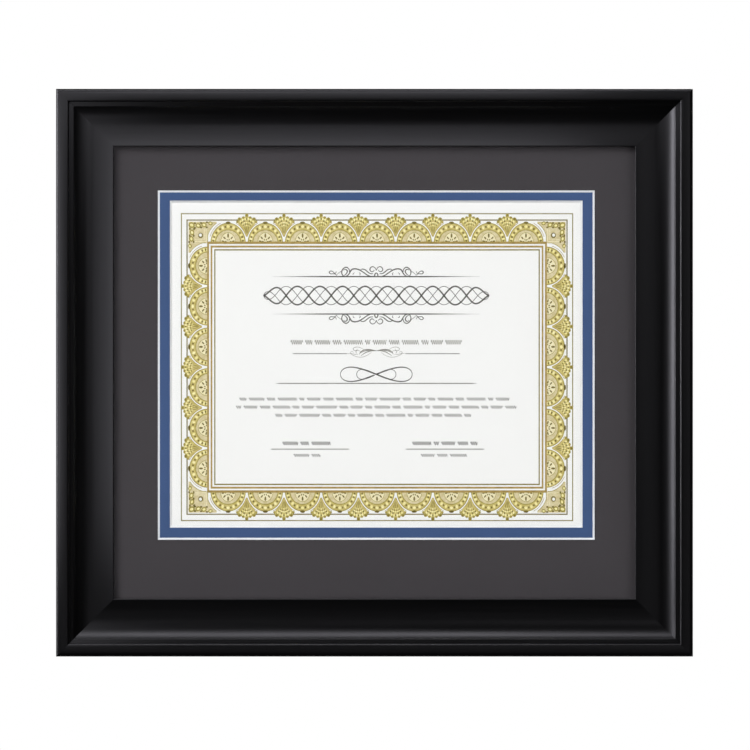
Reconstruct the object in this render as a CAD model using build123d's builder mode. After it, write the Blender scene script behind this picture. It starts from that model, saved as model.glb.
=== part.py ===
"""Certificate frame: mitred scoop moulding, glazing, double mat, sheet, boards and hanging hardware.

Millimetres. The frame stands upright with +Z up and its face towards -Y. The wall it hangs on is the
plane y = 0, the frame's middle is x = 0, and the hooks it hangs from touch the rings at z = 0.
"""
from build123d import *
import math
import os

os.makedirs("parts", exist_ok=True)

# The certificate sheet, and how far the inner mat covers its upright and level edges
sheet_width = 254.0
sheet_height = 203.2
sheet_thickness = 0.25
side_overlap = 6.05
end_overlap = 5.7

# Mats: a coloured facing on a white core, with windows cut at a slant, a little right of the middle
facing_thickness = 0.2
core_thickness = 1.15
bevel_slant = 45.0
side_reveal = 7.05
top_reveal = 5.9
bottom_reveal = 7.1
side_margin = 24.55
top_margin = 25.5
bottom_margin = 34.4
window_shift = 1.0

# The rest of the pack that fills the rabbet
glazing_thickness = 2.0
corner_film = 0.15
mounting_board_thickness = 3.0
backing_board_thickness = 3.0
rabbet_clearance = 0.8

# Moulding: flat back, rabbet, and a face that dips to a valley, rises in a scoop to a narrow shelf and
# ends in a raised lip along the outside. Hardware sits on its flat back, inset from the sight
face_width = 33.6
rabbet_width = 6.35
ledge_thickness = 3.4
valley_inset = 11.7
sight_slope = 11.0
scoop_slope = 48.0
shelf_width = 2.6
shelf_slope = 20.0
lip_width = 7.6
lip_step = 3.5
lip_slope = 10.0
sight_edge_radius = 0.5
shelf_edge_radius = 0.7
lip_inner_radius = 1.5
lip_outer_radius = 2.2
back_edge_chamfer = 0.6
hardware_inset = 20.0

# Pockets that hold the corners of the sheet
corner_leg = 12.0
corner_border = 1.6
corner_fit = 0.3

# V-nails across each mitre: inset along the face from the sight edge to the bend of each nail
v_nail_insets = (12.5, 24.0)
v_nail_leg = 6.0
v_nail_thickness = 0.5
v_nail_depth = 10.0
v_nail_proud = 0.15

# Turn buttons
button_pivot_inset = 7.0
button_reach = 17.0
button_tail = 5.0
button_width = 9.0
button_thickness = 1.2
button_tip_length = 5.0
button_tip_angle = 22.0
button_clearance = 0.12
button_corner_inset = 60.0

# Hangers: a folded strap with a rolled loop, and a D ring in the loop
hook_drop = 80.0
strap_width = 10.0
strap_thickness = 0.9
strap_length = 25.0
strap_tail_radius = 4.0
strap_screw_distance = 19.0
ring_wire_radius = 1.2
ring_running_clearance = 0.1
ring_half_width = 7.6
ring_height = 14.0
ring_corner_radius = 2.4
ring_rest_gap = 0.3

# Pan head screws
screw_radius = 1.4
screw_length = 12.0
screw_tip_length = 3.0
screw_head_radius = 3.0
screw_head_height = 2.0
screw_head_edge = 0.8
screw_running_clearance = 0.08
pilot_clearance = 0.05
head_clearance = 0.1
recess_length = 3.6
recess_width = 0.9
recess_depth = 1.3
recess_taper = 10.0

# Wall bumpers
bumper_radius = 6.0
bumper_height = 5.0
bumper_chamfer = 1.2
bumper_corner_inset = 40.0

# Sizes that follow
mat_thickness = facing_thickness + core_thickness
pack_depth = (
    glazing_thickness
    + 2 * mat_thickness
    + corner_film
    + sheet_thickness
    + mounting_board_thickness
    + backing_board_thickness
)
inner_window_width = sheet_width - 2 * side_overlap
inner_window_height = sheet_height - 2 * end_overlap
outer_window_width = inner_window_width + 2 * side_reveal
outer_window_height = inner_window_height + top_reveal + bottom_reveal
sight_width = outer_window_width + 2 * side_margin
sight_height = outer_window_height + top_margin + bottom_margin
board_width = sight_width + 2 * (rabbet_width - rabbet_clearance)
board_height = sight_height + 2 * (rabbet_width - rabbet_clearance)

# Places that follow
back_y = -bumper_height
frame_top = hook_drop
sight_top = frame_top - face_width
sight_bottom = sight_top - sight_height
sight_middle = (sight_top + sight_bottom) / 2
outer_window_rise = (bottom_margin - top_margin) / 2
inner_window_rise = outer_window_rise + (bottom_reveal - top_reveal) / 2
outer_window_place = (window_shift, outer_window_rise)
inner_window_place = (window_shift, inner_window_rise)
right_x = sight_width / 2
hanger_x = right_x + hardware_inset
ring_hinge_z = ring_wire_radius - ring_height

front = Vector(0, -1, 0)
to_wall = (0, 1, 0)


def back_point(x, z, distance=0.0):
    """A point on the flat back of the moulding, or the given distance behind it."""
    return (x, back_y + distance, z)


def rail_plane(origin, outward):
    """The plane of a rail's cross-section: x runs outward across the face, y runs to the front."""
    outward = Vector(*outward)
    return Plane(origin=origin, x_dir=outward, z_dir=outward.cross(front))


def pack_plane(depth):
    """An upright plane facing the viewer, at a depth from the moulding's back, centred on the sight."""
    return Plane(origin=(0, back_y - depth, sight_middle), x_dir=(1, 0, 0), z_dir=front)


def save(part, name):
    """Label one finished piece and write it."""
    part.label = name
    export_step(part, f"parts/{name}.step")


# Places of the repeated pieces
button_x = right_x - button_corner_inset
pivot_inset = rabbet_width + button_pivot_inset
button_places = {
    "turn_button_top_left": ((-button_x, sight_top + pivot_inset), (0, 0, -1)),
    "turn_button_top_right": ((button_x, sight_top + pivot_inset), (0, 0, -1)),
    "turn_button_bottom_left": ((-button_x, sight_bottom - pivot_inset), (0, 0, 1)),
    "turn_button_bottom_right": ((button_x, sight_bottom - pivot_inset), (0, 0, 1)),
    "turn_button_left": ((-right_x - pivot_inset, sight_middle), (1, 0, 0)),
    "turn_button_right": ((right_x + pivot_inset, sight_middle), (-1, 0, 0)),
}
hanger_places = {"left": -hanger_x, "right": hanger_x}
button_screw_points = [place for place, inward in button_places.values()]
hanger_screw_points = [(x, ring_hinge_z - strap_screw_distance) for x in hanger_places.values()]


# V-nails: thin right-angled strips, one leg in each rail, driven in from the back
corner_signs = [(1, 1), (-1, 1), (1, -1), (-1, -1)]
with BuildPart() as corner_v_nails:
    for side, height in corner_signs:
        for inset in v_nail_insets:
            bend_x = side * (right_x + inset)
            bend_z = height * (sight_height / 2 + inset)
            with BuildSketch(pack_plane(-v_nail_proud)):
                with BuildLine():
                    Polyline(
                        (bend_x, bend_z),
                        (bend_x - side * v_nail_leg, bend_z),
                        (bend_x - side * v_nail_leg, bend_z - height * v_nail_thickness),
                        (bend_x - side * v_nail_thickness, bend_z - height * v_nail_thickness),
                        (bend_x - side * v_nail_thickness, bend_z - height * v_nail_leg),
                        (bend_x, bend_z - height * v_nail_leg),
                        close=True,
                    )
                make_face()
            extrude(amount=v_nail_depth)
save(corner_v_nails.part, "corner_v_nails")


# Moulding: one cross-section carried along each side and cut at the mitres
def arc_points(start, slope_from, slope_to, width):
    """The middle and end of an arc that crosses a width while its slope turns from one angle to another."""
    first = math.radians(slope_from)
    last = math.radians(slope_to)
    radius = width / (math.sin(last) - math.sin(first))

    def point_at(angle):
        across = radius * (math.sin(angle) - math.sin(first))
        rise = radius * (math.cos(first) - math.cos(angle))
        return (start[0] + across, start[1] + rise)

    return point_at((first + last) / 2), point_at(last)


def moulding_section(plane):
    """Draw the moulding's outline: rabbet and flat back below, scoop, shelf and lip above."""
    valley = pack_depth + ledge_thickness
    sight_rise = valley_inset * math.tan(math.radians(sight_slope / 2))
    sight_edge = (0, valley + sight_rise)
    lip_inset = face_width - lip_width
    scoop_width = lip_inset - shelf_width - valley_inset
    dip_middle, valley_point = arc_points(sight_edge, -sight_slope, 0, valley_inset)
    scoop_middle, scoop_end = arc_points(valley_point, 0, scoop_slope, scoop_width)
    shelf_end = (lip_inset, scoop_end[1] + shelf_width * math.tan(math.radians(shelf_slope)))
    lip_start = (lip_inset, shelf_end[1] + lip_step)
    lip_middle, lip_end = arc_points(lip_start, lip_slope, -lip_slope, lip_width)
    with BuildSketch(plane) as section:
        with BuildLine():
            Polyline(
                lip_end,
                (face_width, 0),
                (rabbet_width, 0),
                (rabbet_width, pack_depth),
                (0, pack_depth),
                sight_edge,
            )
            ThreePointArc(sight_edge, dip_middle, valley_point)
            ThreePointArc(valley_point, scoop_middle, scoop_end)
            Polyline(scoop_end, shelf_end, lip_start)
            ThreePointArc(lip_start, lip_middle, lip_end)
        make_face()
        rounded_corners = (
            (sight_edge, sight_edge_radius),
            (scoop_end, shelf_edge_radius),
            (lip_start, lip_inner_radius),
            (lip_end, lip_outer_radius),
        )
        for corner, radius in rounded_corners:
            fillet(section.vertices().sort_by_distance(corner)[0], radius)
        chamfer(section.vertices().sort_by_distance((face_width, 0))[0], back_edge_chamfer)
    return section.sketch


def build_rail(name, plane, half_sight_length):
    """Carry the section along one side, mitre both ends and cut the slots and pilot holes."""
    with BuildPart() as rail:
        extrude(moulding_section(plane), amount=half_sight_length + face_width, both=True)
        for end in (1, -1):
            mitre = Plane(
                origin=plane.origin + plane.z_dir * (end * half_sight_length),
                z_dir=plane.z_dir * end - plane.x_dir,
            )
            split(bisect_by=mitre, keep=Keep.BOTTOM)
        add(corner_v_nails.part, mode=Mode.SUBTRACT)
        for x, z in button_screw_points + hanger_screw_points:
            with Locations(Plane(origin=back_point(x, z), z_dir=to_wall)):
                Cylinder(
                    screw_radius + pilot_clearance,
                    screw_length,
                    align=(Align.CENTER, Align.CENTER, Align.MAX),
                    mode=Mode.SUBTRACT,
                )
    save(rail.part, name)


build_rail("top_rail", rail_plane(back_point(0, sight_top), (0, 0, 1)), sight_width / 2)
build_rail("bottom_rail", rail_plane(back_point(0, sight_bottom), (0, 0, -1)), sight_width / 2)
build_rail("left_rail", rail_plane(back_point(-right_x, sight_middle), (-1, 0, 0)), sight_height / 2)
build_rail("right_rail", rail_plane(back_point(right_x, sight_middle), (1, 0, 0)), sight_height / 2)


# Flat sheets that fill the rabbet, from the ledge backwards
def flat_sheet(name, width, height, rear_depth, thickness, place=(0, 0)):
    """A plain sheet whose rear face is at a depth from the moulding's back."""
    with BuildPart() as sheet:
        with BuildSketch(pack_plane(rear_depth)):
            with Locations(place):
                Rectangle(width, height)
        extrude(amount=thickness)
    save(sheet.part, name)


def window_layer(name, rear_depth, thickness, behind_face, window_width, window_height, place):
    """One layer of a mat: its window narrows towards the back, behind_face below the mat's face."""
    spread = math.tan(math.radians(bevel_slant))
    front_shrink = spread * behind_face
    rear_shrink = spread * (behind_face + thickness)
    with BuildPart() as layer:
        with BuildSketch(pack_plane(rear_depth)):
            Rectangle(board_width, board_height)
        extrude(amount=thickness)
        for depth, shrink in ((rear_depth, rear_shrink), (rear_depth + thickness, front_shrink)):
            with BuildSketch(pack_plane(depth)):
                with Locations(place):
                    Rectangle(window_width - 2 * shrink, window_height - 2 * shrink)
        loft(mode=Mode.SUBTRACT)
    save(layer.part, name)


backing_rear = 0.0
mounting_rear = backing_rear + backing_board_thickness
sheet_rear = mounting_rear + mounting_board_thickness
inner_core_rear = sheet_rear + sheet_thickness + corner_film
inner_facing_rear = inner_core_rear + core_thickness
outer_core_rear = inner_facing_rear + facing_thickness
outer_facing_rear = outer_core_rear + core_thickness
glazing_rear = outer_facing_rear + facing_thickness

flat_sheet("backing_board", board_width, board_height, backing_rear, backing_board_thickness)
flat_sheet("mounting_board", board_width, board_height, mounting_rear, mounting_board_thickness)
flat_sheet("certificate", sheet_width, sheet_height, sheet_rear, sheet_thickness, inner_window_place)
flat_sheet("glazing", board_width, board_height, glazing_rear, glazing_thickness)

inner_window = (inner_window_width, inner_window_height, inner_window_place)
outer_window = (outer_window_width, outer_window_height, outer_window_place)
window_layer("inner_mat_core", inner_core_rear, core_thickness, facing_thickness, *inner_window)
window_layer("inner_mat_facing", inner_facing_rear, facing_thickness, 0.0, *inner_window)
window_layer("outer_mat_core", outer_core_rear, core_thickness, facing_thickness, *outer_window)
window_layer("outer_mat_facing", outer_facing_rear, facing_thickness, 0.0, *outer_window)


# Mounting corners: thin triangular pockets stuck to the mounting board, open towards the middle
with BuildPart() as mounting_corners:
    for side, height in corner_signs:
        tip_x = window_shift + side * (sheet_width / 2 + corner_border)
        tip_z = inner_window_rise + height * (sheet_height / 2 + corner_border)
        outline = [
            (tip_x, tip_z),
            (tip_x - side * (corner_leg + corner_border), tip_z),
            (tip_x, tip_z - height * (corner_leg + corner_border)),
        ]
        with BuildSketch(pack_plane(sheet_rear)):
            Polygon(*outline, align=None)
        extrude(amount=sheet_thickness + corner_film)
    with BuildSketch(pack_plane(sheet_rear)):
        with Locations(inner_window_place):
            Rectangle(sheet_width + 2 * corner_fit, sheet_height + 2 * corner_fit)
    extrude(amount=sheet_thickness, mode=Mode.SUBTRACT)
save(mounting_corners.part, "mounting_corners")


# Turn buttons: stamped steel plates, each free to turn on its screw, with a tip bent up for a finger
def build_turn_button(name, place, inward):
    """A plate lying just off the moulding's back, reaching inward over the backing board."""
    plate = Plane(origin=back_point(*place, button_clearance), x_dir=inward, z_dir=to_wall)
    side_view = Plane(origin=plate.origin, x_dir=plate.x_dir, z_dir=plate.y_dir * -1)
    bend = button_reach - button_tip_length
    tip_rise = button_tip_length * math.tan(math.radians(button_tip_angle))
    with BuildPart() as button:
        with BuildSketch(side_view):
            with BuildLine():
                Polyline(
                    (-button_tail, 0),
                    (bend, 0),
                    (button_reach, tip_rise),
                    (button_reach, tip_rise + button_thickness),
                    (bend, button_thickness),
                    (-button_tail, button_thickness),
                    close=True,
                )
            make_face()
        extrude(amount=button_width / 2, both=True)
        with BuildSketch(plate):
            with Locations(((button_reach - button_tail) / 2, 0)):
                SlotOverall(button_reach + button_tail, button_width)
        extrude(amount=button_thickness + tip_rise, mode=Mode.INTERSECT)
        with Locations(plate):
            Cylinder(
                screw_radius + screw_running_clearance,
                2 * button_thickness,
                mode=Mode.SUBTRACT,
            )
    save(button.part, name)


for button_name, (place, inward) in button_places.items():
    build_turn_button(button_name, place, inward)


# Pan head screws with a cross recess
with BuildPart() as screw:
    with BuildSketch(Plane.XZ):
        with BuildLine():
            Polyline(
                (0, screw_head_height),
                (0, -screw_length),
                (screw_radius, screw_tip_length - screw_length),
                (screw_radius, 0),
                (screw_head_radius, 0),
                (screw_head_radius, screw_head_edge),
            )
            EllipticalCenterArc(
                (0, screw_head_edge),
                screw_head_radius,
                screw_head_height - screw_head_edge,
                arc_size=90,
            )
        make_face()
    revolve(axis=Axis.Z)
    with BuildSketch(Plane.XY.offset(screw_head_height)):
        Rectangle(recess_length, recess_width)
        Rectangle(recess_width, recess_length)
    extrude(amount=-recess_depth, taper=recess_taper, mode=Mode.SUBTRACT)


def screw_group(name, points, seat):
    """Screws driven in from the back, their heads on a seat this far behind the moulding."""
    with BuildPart() as group:
        for x, z in points:
            with Locations(Plane(origin=back_point(x, z, seat), z_dir=to_wall)):
                add(screw.part)
    save(group.part, name)


screw_group("turn_button_screws", button_screw_points, button_clearance + button_thickness + head_clearance)
screw_group("hanger_screws", hanger_screw_points, 2 * strap_thickness)


# Hangers
loop_bore = ring_wire_radius + ring_running_clearance
loop_radius = loop_bore + strap_thickness
hinge_distance = loop_radius
ring_lean = math.degrees(math.asin((hinge_distance - ring_wire_radius - ring_rest_gap) / ring_height))


def build_strap(name, x):
    """A strip folded double, flat on the moulding, with its fold rolled round the ring's bar."""
    section = Plane(origin=back_point(x, ring_hinge_z), x_dir=(0, 0, 1), z_dir=(-1, 0, 0))
    with BuildPart() as strap:
        with BuildSketch(section):
            with Locations((-strap_length / 2, strap_thickness)):
                Rectangle(strap_length, 2 * strap_thickness)
            with Locations((0, hinge_distance)):
                Circle(loop_radius)
                Circle(loop_bore, mode=Mode.SUBTRACT)
        extrude(amount=strap_width / 2, both=True)
        tail_edges = strap.edges().filter_by(Axis.Y).group_by(Axis.Z)[0]
        fillet(tail_edges, strap_tail_radius)
        screw_point = back_point(x, ring_hinge_z - strap_screw_distance)
        with Locations(Plane(origin=screw_point, z_dir=to_wall)):
            Cylinder(
                screw_radius + screw_running_clearance,
                4 * strap_thickness,
                mode=Mode.SUBTRACT,
            )
    save(strap.part, name)


def build_ring(name, x):
    """Round wire bent to a D: a straight bar in the loop, two legs and a half circle."""
    hinge = Plane(origin=back_point(x, ring_hinge_z, hinge_distance), x_dir=(1, 0, 0), z_dir=front)
    leaning = hinge.rotated((ring_lean, 0, 0))
    bar_half = ring_half_width - ring_corner_radius
    arch_base = ring_height - ring_half_width
    with BuildPart() as ring:
        with BuildLine(leaning) as path:
            Line((0, 0), (bar_half, 0))
            CenterArc((bar_half, ring_corner_radius), ring_corner_radius, -90, 90)
            Line((ring_half_width, ring_corner_radius), (ring_half_width, arch_base))
            CenterArc((0, arch_base), ring_half_width, 0, 180)
            Line((-ring_half_width, arch_base), (-ring_half_width, ring_corner_radius))
            CenterArc((-bar_half, ring_corner_radius), ring_corner_radius, 180, 90)
            Line((-bar_half, 0), (0, 0))
        with BuildSketch(Plane(origin=hinge.origin, z_dir=(1, 0, 0))):
            Circle(ring_wire_radius)
        sweep(path=path.wires()[0])
    save(ring.part, name)


for side_name, hanger_place in hanger_places.items():
    build_strap(f"{side_name}_hanger_strap", hanger_place)
    build_ring(f"{side_name}_hanger_ring", hanger_place)


# Wall bumpers: soft round feet at the bottom corners of the back
def build_bumper(name, x):
    """A short round pad with a chamfered rear edge, stuck to the moulding's back."""
    with BuildPart() as bumper:
        seat = back_point(x, sight_bottom - hardware_inset)
        with BuildSketch(Plane(origin=seat, z_dir=to_wall)):
            Circle(bumper_radius)
        extrude(amount=bumper_height)
        chamfer(bumper.faces().sort_by(Axis.Y)[-1].edges(), bumper_chamfer)
    save(bumper.part, name)


bumper_x = right_x + face_width - bumper_corner_inset
build_bumper("left_bumper", -bumper_x)
build_bumper("right_bumper", bumper_x)

outer_width = sight_width + 2 * face_width
outer_height = sight_height + 2 * face_width
print(f"outside {outer_width:.1f} x {outer_height:.1f}, sight {sight_width:.1f} x {sight_height:.1f}")
print(f"pack depth {pack_depth:.2f}, ring leans {ring_lean:.2f} degrees, hinge z {ring_hinge_z:.2f}")
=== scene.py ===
# %% [markdown]
# This lesson dresses a certificate frame: black scoop moulding, picture glass, a charcoal and blue
# double mat, a printed sheet, and the boards and fittings on the back. The solids already stand at
# their real size, so every piece made here is placed from them, in metres.

import bpy
import numpy as np
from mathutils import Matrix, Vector


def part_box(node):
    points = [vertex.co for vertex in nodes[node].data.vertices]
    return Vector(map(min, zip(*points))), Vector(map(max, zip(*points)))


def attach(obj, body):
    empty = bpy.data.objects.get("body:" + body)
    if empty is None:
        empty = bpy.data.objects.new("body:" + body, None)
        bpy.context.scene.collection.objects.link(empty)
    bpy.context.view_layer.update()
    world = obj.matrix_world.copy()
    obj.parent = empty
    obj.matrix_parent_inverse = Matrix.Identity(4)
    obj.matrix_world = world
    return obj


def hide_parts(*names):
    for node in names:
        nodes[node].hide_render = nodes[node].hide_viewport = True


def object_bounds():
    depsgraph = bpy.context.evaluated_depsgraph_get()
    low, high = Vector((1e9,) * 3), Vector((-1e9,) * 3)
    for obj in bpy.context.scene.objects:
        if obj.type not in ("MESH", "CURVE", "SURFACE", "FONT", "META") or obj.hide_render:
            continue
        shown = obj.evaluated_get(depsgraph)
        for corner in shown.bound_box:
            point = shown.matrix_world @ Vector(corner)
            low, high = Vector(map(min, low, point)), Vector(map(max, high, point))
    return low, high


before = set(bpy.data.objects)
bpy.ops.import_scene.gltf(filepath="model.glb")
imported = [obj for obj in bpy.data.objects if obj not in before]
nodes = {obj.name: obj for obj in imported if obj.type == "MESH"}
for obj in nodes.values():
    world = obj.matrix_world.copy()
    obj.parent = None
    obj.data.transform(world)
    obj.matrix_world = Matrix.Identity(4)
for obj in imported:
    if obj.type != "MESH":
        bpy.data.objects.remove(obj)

MM = 0.001
cad_low, cad_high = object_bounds()
print("solids from", [round(v, 4) for v in cad_low], "to", [round(v, 4) for v in cad_high])

# %% [markdown]
# Most new pieces are grids: rows and columns of points, joined by four-sided faces. One helper lists
# those faces for any grid, and another puts points and faces into a mesh that rides on a body.

# %% Grid and mesh helpers
def grid_faces(rows, columns, close_columns=False):
    """Four corners per face of a grid numbered row by row, the last column joined to the first if asked."""
    row = np.arange(rows - 1)[:, None]
    column = np.arange(columns if close_columns else columns - 1)[None, :]
    after = (column + 1) % columns
    corners = [row * columns + column, row * columns + after]
    corners += [(row + 1) * columns + after, (row + 1) * columns + column]
    return np.stack(np.broadcast_arrays(*corners), -1).reshape(-1, 4)


def make_piece(name, points, faces, material, body="frame", sharp_degrees=30.0):
    """A mesh object at the origin, its place in its points, smooth except across sharp edges."""
    mesh = bpy.data.meshes.new(name)
    mesh.from_pydata(np.asarray(points).tolist(), [], [list(face) for face in faces])
    mesh.shade_smooth()
    mesh.set_sharp_from_angle(angle=np.radians(sharp_degrees))
    mesh.materials.append(material)
    piece = bpy.data.objects.new(name, mesh)
    bpy.context.scene.collection.objects.link(piece)
    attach(piece, body)
    return piece


print("a grid of 3 by 4 points has", len(grid_faces(3, 4)), "faces")

# %% [markdown]
# Materials are node trees. Writing one socket at a time is slow to read, so a small class adds nodes,
# joins them and sets their values by name, and a second one starts a material with it. Constants go
# straight onto the shader's own sockets.

# %% Material helpers
class Nodes:
    """Short calls that add nodes to a tree and join them."""

    def __init__(self, tree):
        self.tree = tree

    def add(self, kind, settings=None, **inputs):
        """Add a node; inputs are values, or sockets of other nodes to link from."""
        node = self.tree.nodes.new(kind)
        for key, value in (settings or {}).items():
            setattr(node, key, value)
        for key, value in inputs.items():
            name = int(key[1:]) if key[1:].isdigit() else key.replace("_", " ")
            self.set(node.inputs[name], value)
        return node

    def set(self, socket, value):
        """Link the socket if the value is a socket too, and otherwise store the value on it."""
        if isinstance(value, bpy.types.NodeSocket):
            self.tree.links.new(value, socket)
        else:
            socket.default_value = value

    def span(self, factor, low, high):
        """A factor from 0 to 1 spread from low to high."""
        node = self.add("ShaderNodeMapRange", Value=factor, To_Min=low, To_Max=high)
        return node.outputs["Result"]

    def cut(self, factor, start, end):
        """0 up to the start, 1 from the end, and an even slope between them."""
        node = self.add("ShaderNodeMapRange", Value=factor, From_Min=start, From_Max=end)
        return node.outputs["Result"]

    def maths(self, operation, first, second):
        """One sum, product or other operation on two factors."""
        node = self.add("ShaderNodeMath", {"operation": operation}, _0=first, _1=second)
        return node.outputs["Value"]


class Finish(Nodes):
    """A new material with one Principled shader, given its constants, and calls for its patterns."""

    def __init__(self, name, **constants):
        self.material = bpy.data.materials.new(name)
        self.material.use_nodes = True
        super().__init__(self.material.node_tree)
        self.shader = self.tree.nodes["Principled BSDF"]
        self.output = self.tree.nodes["Material Output"]
        for socket, value in constants.items():
            self.shader.inputs[socket.replace("_", " ")].default_value = value

    def place(self, scale=(1, 1, 1), turn=(0, 0, 0), uv=None):
        """Pattern coordinates: the piece's own, or its UV map, stretched by scale."""
        if uv:
            source = self.add("ShaderNodeUVMap", {"uv_map": uv}).outputs["UV"]
        else:
            source = self.add("ShaderNodeTexCoord").outputs["Object"]
        mapping = self.add("ShaderNodeMapping", Vector=source, Scale=scale, Rotation=turn)
        return mapping.outputs["Vector"]

    def noise(self, where, scale, detail=4.0, rough=0.55):
        """Cloudy noise from 0 to 1."""
        node = self.add("ShaderNodeTexNoise", Vector=where, Scale=scale, Detail=detail, Roughness=rough)
        return node.outputs["Fac"]

    def ramp(self, factor, stops):
        """Colours or greys spread along a factor: stops are (position, colour)."""
        node = self.add("ShaderNodeValToRGB", Fac=factor)
        elements = node.color_ramp.elements
        while len(elements) < len(stops):
            elements.new(0.5)
        for element, (position, colour) in zip(elements, stops):
            element.position = position
            element.color = (*colour, 1) if len(colour) == 3 else (*colour * 3, 1)
        return node.outputs["Color"]

    def mix(self, factor, first, second):
        """The first colour where the factor is 0, the second where it is 1."""
        node = self.add("ShaderNodeMix", {"data_type": "RGBA"})
        self.set(node.inputs["Factor"], factor)
        for socket, value in ((node.inputs[6], first), (node.inputs[7], second)):
            self.set(socket, (*value, 1) if isinstance(value, tuple) else value)
        return node.outputs[2]

    def bump(self, height, distance, strength):
        """Tilt the shading as if the height were raised by the distance."""
        node = self.add("ShaderNodeBump", Height=height, Distance=distance, Strength=strength)
        self.set(self.shader.inputs["Normal"], node.outputs["Normal"])

    def colour(self, value):
        """Join a colour to the shader."""
        self.set(self.shader.inputs["Base Color"], value)

    def roughness(self, value):
        """Join a roughness to the shader."""
        self.set(self.shader.inputs["Roughness"], value)

    def see_through(self, clear_colour, share):
        """Mix a transparent shader with the mirror-like one, which gets the given share."""
        clear = self.add("ShaderNodeBsdfTransparent", Color=(*clear_colour, 1)).outputs["BSDF"]
        mirror = self.shader.outputs["BSDF"]
        joined = self.add("ShaderNodeMixShader", Fac=share, _1=clear, _2=mirror)
        self.set(self.output.inputs["Surface"], joined.outputs["Shader"])
        return self.material


def from_srgb(code):
    """A display colour written as six hex digits, as linear light."""
    display = np.array([int(code[i:i + 2], 16) for i in (0, 2, 4)]) / 255
    linear = np.where(display <= 0.04045, display / 12.92, ((display + 0.055) / 1.055) ** 2.4)
    return tuple(float(v) for v in linear)


print("mid grey on screen is", round(from_srgb("808080")[0], 3), "of white in light")

# %% [markdown]
# The moulding is one cross-section carried along four sides. From the sight edge outwards its face dips
# a little, rises in a scoop to a narrow shelf, and ends in a raised, slightly crowned lip. Each
# curved run is an arc between two slopes: across it the sine of the slope changes evenly, which is what
# makes it round. The lip's two edges are rounded, and each catches a thin line of light.

# %% The moulding's cross-section
sight_low = np.array([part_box("left_rail")[1].x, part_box("bottom_rail")[1].z])
sight_high = np.array([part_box("right_rail")[0].x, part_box("top_rail")[0].z])
back_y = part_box("top_rail")[1].y
face_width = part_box("top_rail")[1].z - sight_high[1]
pack_depth = back_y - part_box("glazing")[0].y
rabbet_width = 6.35 * MM
ledge_thickness = 3.4 * MM
valley_inset = 11.7 * MM
shelf_width = 2.6 * MM
lip_width = 7.6 * MM
lip_step = 3.5 * MM
sight_slope = np.radians(11.0)
scoop_slope = np.radians(48.0)
shelf_slope = np.radians(20.0)
lip_slope = np.radians(10.0)
sight_edge_radius = 0.5 * MM
shelf_edge_radius = 0.7 * MM
lip_inner_radius = 1.5 * MM
lip_outer_radius = 2.2 * MM
back_edge_cut = 0.6 * MM


def arc_run(start, slope_from, slope_to, across, count):
    """Points of an arc that crosses a given width while its slope turns from one angle to another."""
    radius = across / (np.sin(slope_to) - np.sin(slope_from))
    slope = np.linspace(slope_from, slope_to, count)
    u = start[0] + radius * (np.sin(slope) - np.sin(slope_from))
    v = start[1] + radius * (np.cos(slope_from) - np.cos(slope))
    return np.stack([u, v], 1)


def rounded_corner(corner, towards_before, towards_after, radius, count=14):
    """The arc that rounds a corner, tangent to the two directions that leave it."""
    a = towards_before / np.linalg.norm(towards_before)
    b = towards_after / np.linalg.norm(towards_after)
    half = np.arccos(np.clip(a @ b, -1, 1)) / 2
    centre = corner + (a + b) / np.linalg.norm(a + b) * radius / np.sin(half)
    start = corner + a * radius / np.tan(half) - centre
    end = corner + b * radius / np.tan(half) - centre
    sweep = np.pi - 2 * half
    step = np.linspace(0, 1, count)[:, None]
    return centre + (np.sin((1 - step) * sweep) * start + np.sin(step * sweep) * end) / np.sin(sweep)


def point_beyond(run, distance):
    """The first point of a run that is at least a distance from its start."""
    return run[np.argmax(np.linalg.norm(run - run[0], axis=1) >= distance)]


def trimmed(run, start_cut, end_cut):
    """A run of points without those nearer to its ends than the cuts."""
    from_start = np.linalg.norm(run - run[0], axis=1)
    from_end = np.linalg.norm(run - run[-1], axis=1)
    return run[(from_start > start_cut) & (from_end > end_cut)]


def moulding_outline():
    """The closed cross-section, u outward from the sight edge and v forward from the flat back."""
    valley = pack_depth + ledge_thickness
    lip_inset = face_width - lip_width
    dip_rise = valley_inset * np.tan(sight_slope / 2)
    dip = arc_run((0, valley + dip_rise), -sight_slope, 0, valley_inset, 20)
    scoop = arc_run(dip[-1], 0, scoop_slope, lip_inset - shelf_width - valley_inset, 60)
    along_shelf = np.array([1.0, np.tan(shelf_slope)])
    shelf_end = scoop[-1] + along_shelf * shelf_width
    lip = arc_run(shelf_end + [0, lip_step], lip_slope, -lip_slope, lip_width, 24)
    down = np.array([0.0, -1.0])
    shelf_cut = shelf_edge_radius * np.tan((scoop_slope - shelf_slope) / 2)
    back_down_scoop = point_beyond(scoop[::-1], shelf_cut) - scoop[-1]
    shelf_round = rounded_corner(scoop[-1], back_down_scoop, along_shelf, shelf_edge_radius)
    sight_round = rounded_corner(dip[0], down, dip[1] - dip[0], sight_edge_radius)
    along_lip = point_beyond(lip, lip_inner_radius) - lip[0]
    inner_round = rounded_corner(lip[0], down, along_lip, lip_inner_radius)
    back_along_lip = point_beyond(lip[::-1], lip_outer_radius) - lip[-1]
    outer_round = rounded_corner(lip[-1], back_along_lip, down, lip_outer_radius)
    back = [[face_width, back_edge_cut], [face_width - back_edge_cut, 0]]
    rabbet = [[rabbet_width, 0], [rabbet_width, pack_depth], [0, pack_depth]]
    runs = [
        sight_round,
        trimmed(dip, sight_edge_radius, 0),
        trimmed(scoop[1:], 0, shelf_cut),
        shelf_round,
        shelf_end[None],
        inner_round,
        trimmed(lip, lip_inner_radius, lip_outer_radius),
        outer_round,
        np.array(back),
        np.array(rabbet),
    ]
    return np.concatenate(runs)


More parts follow.
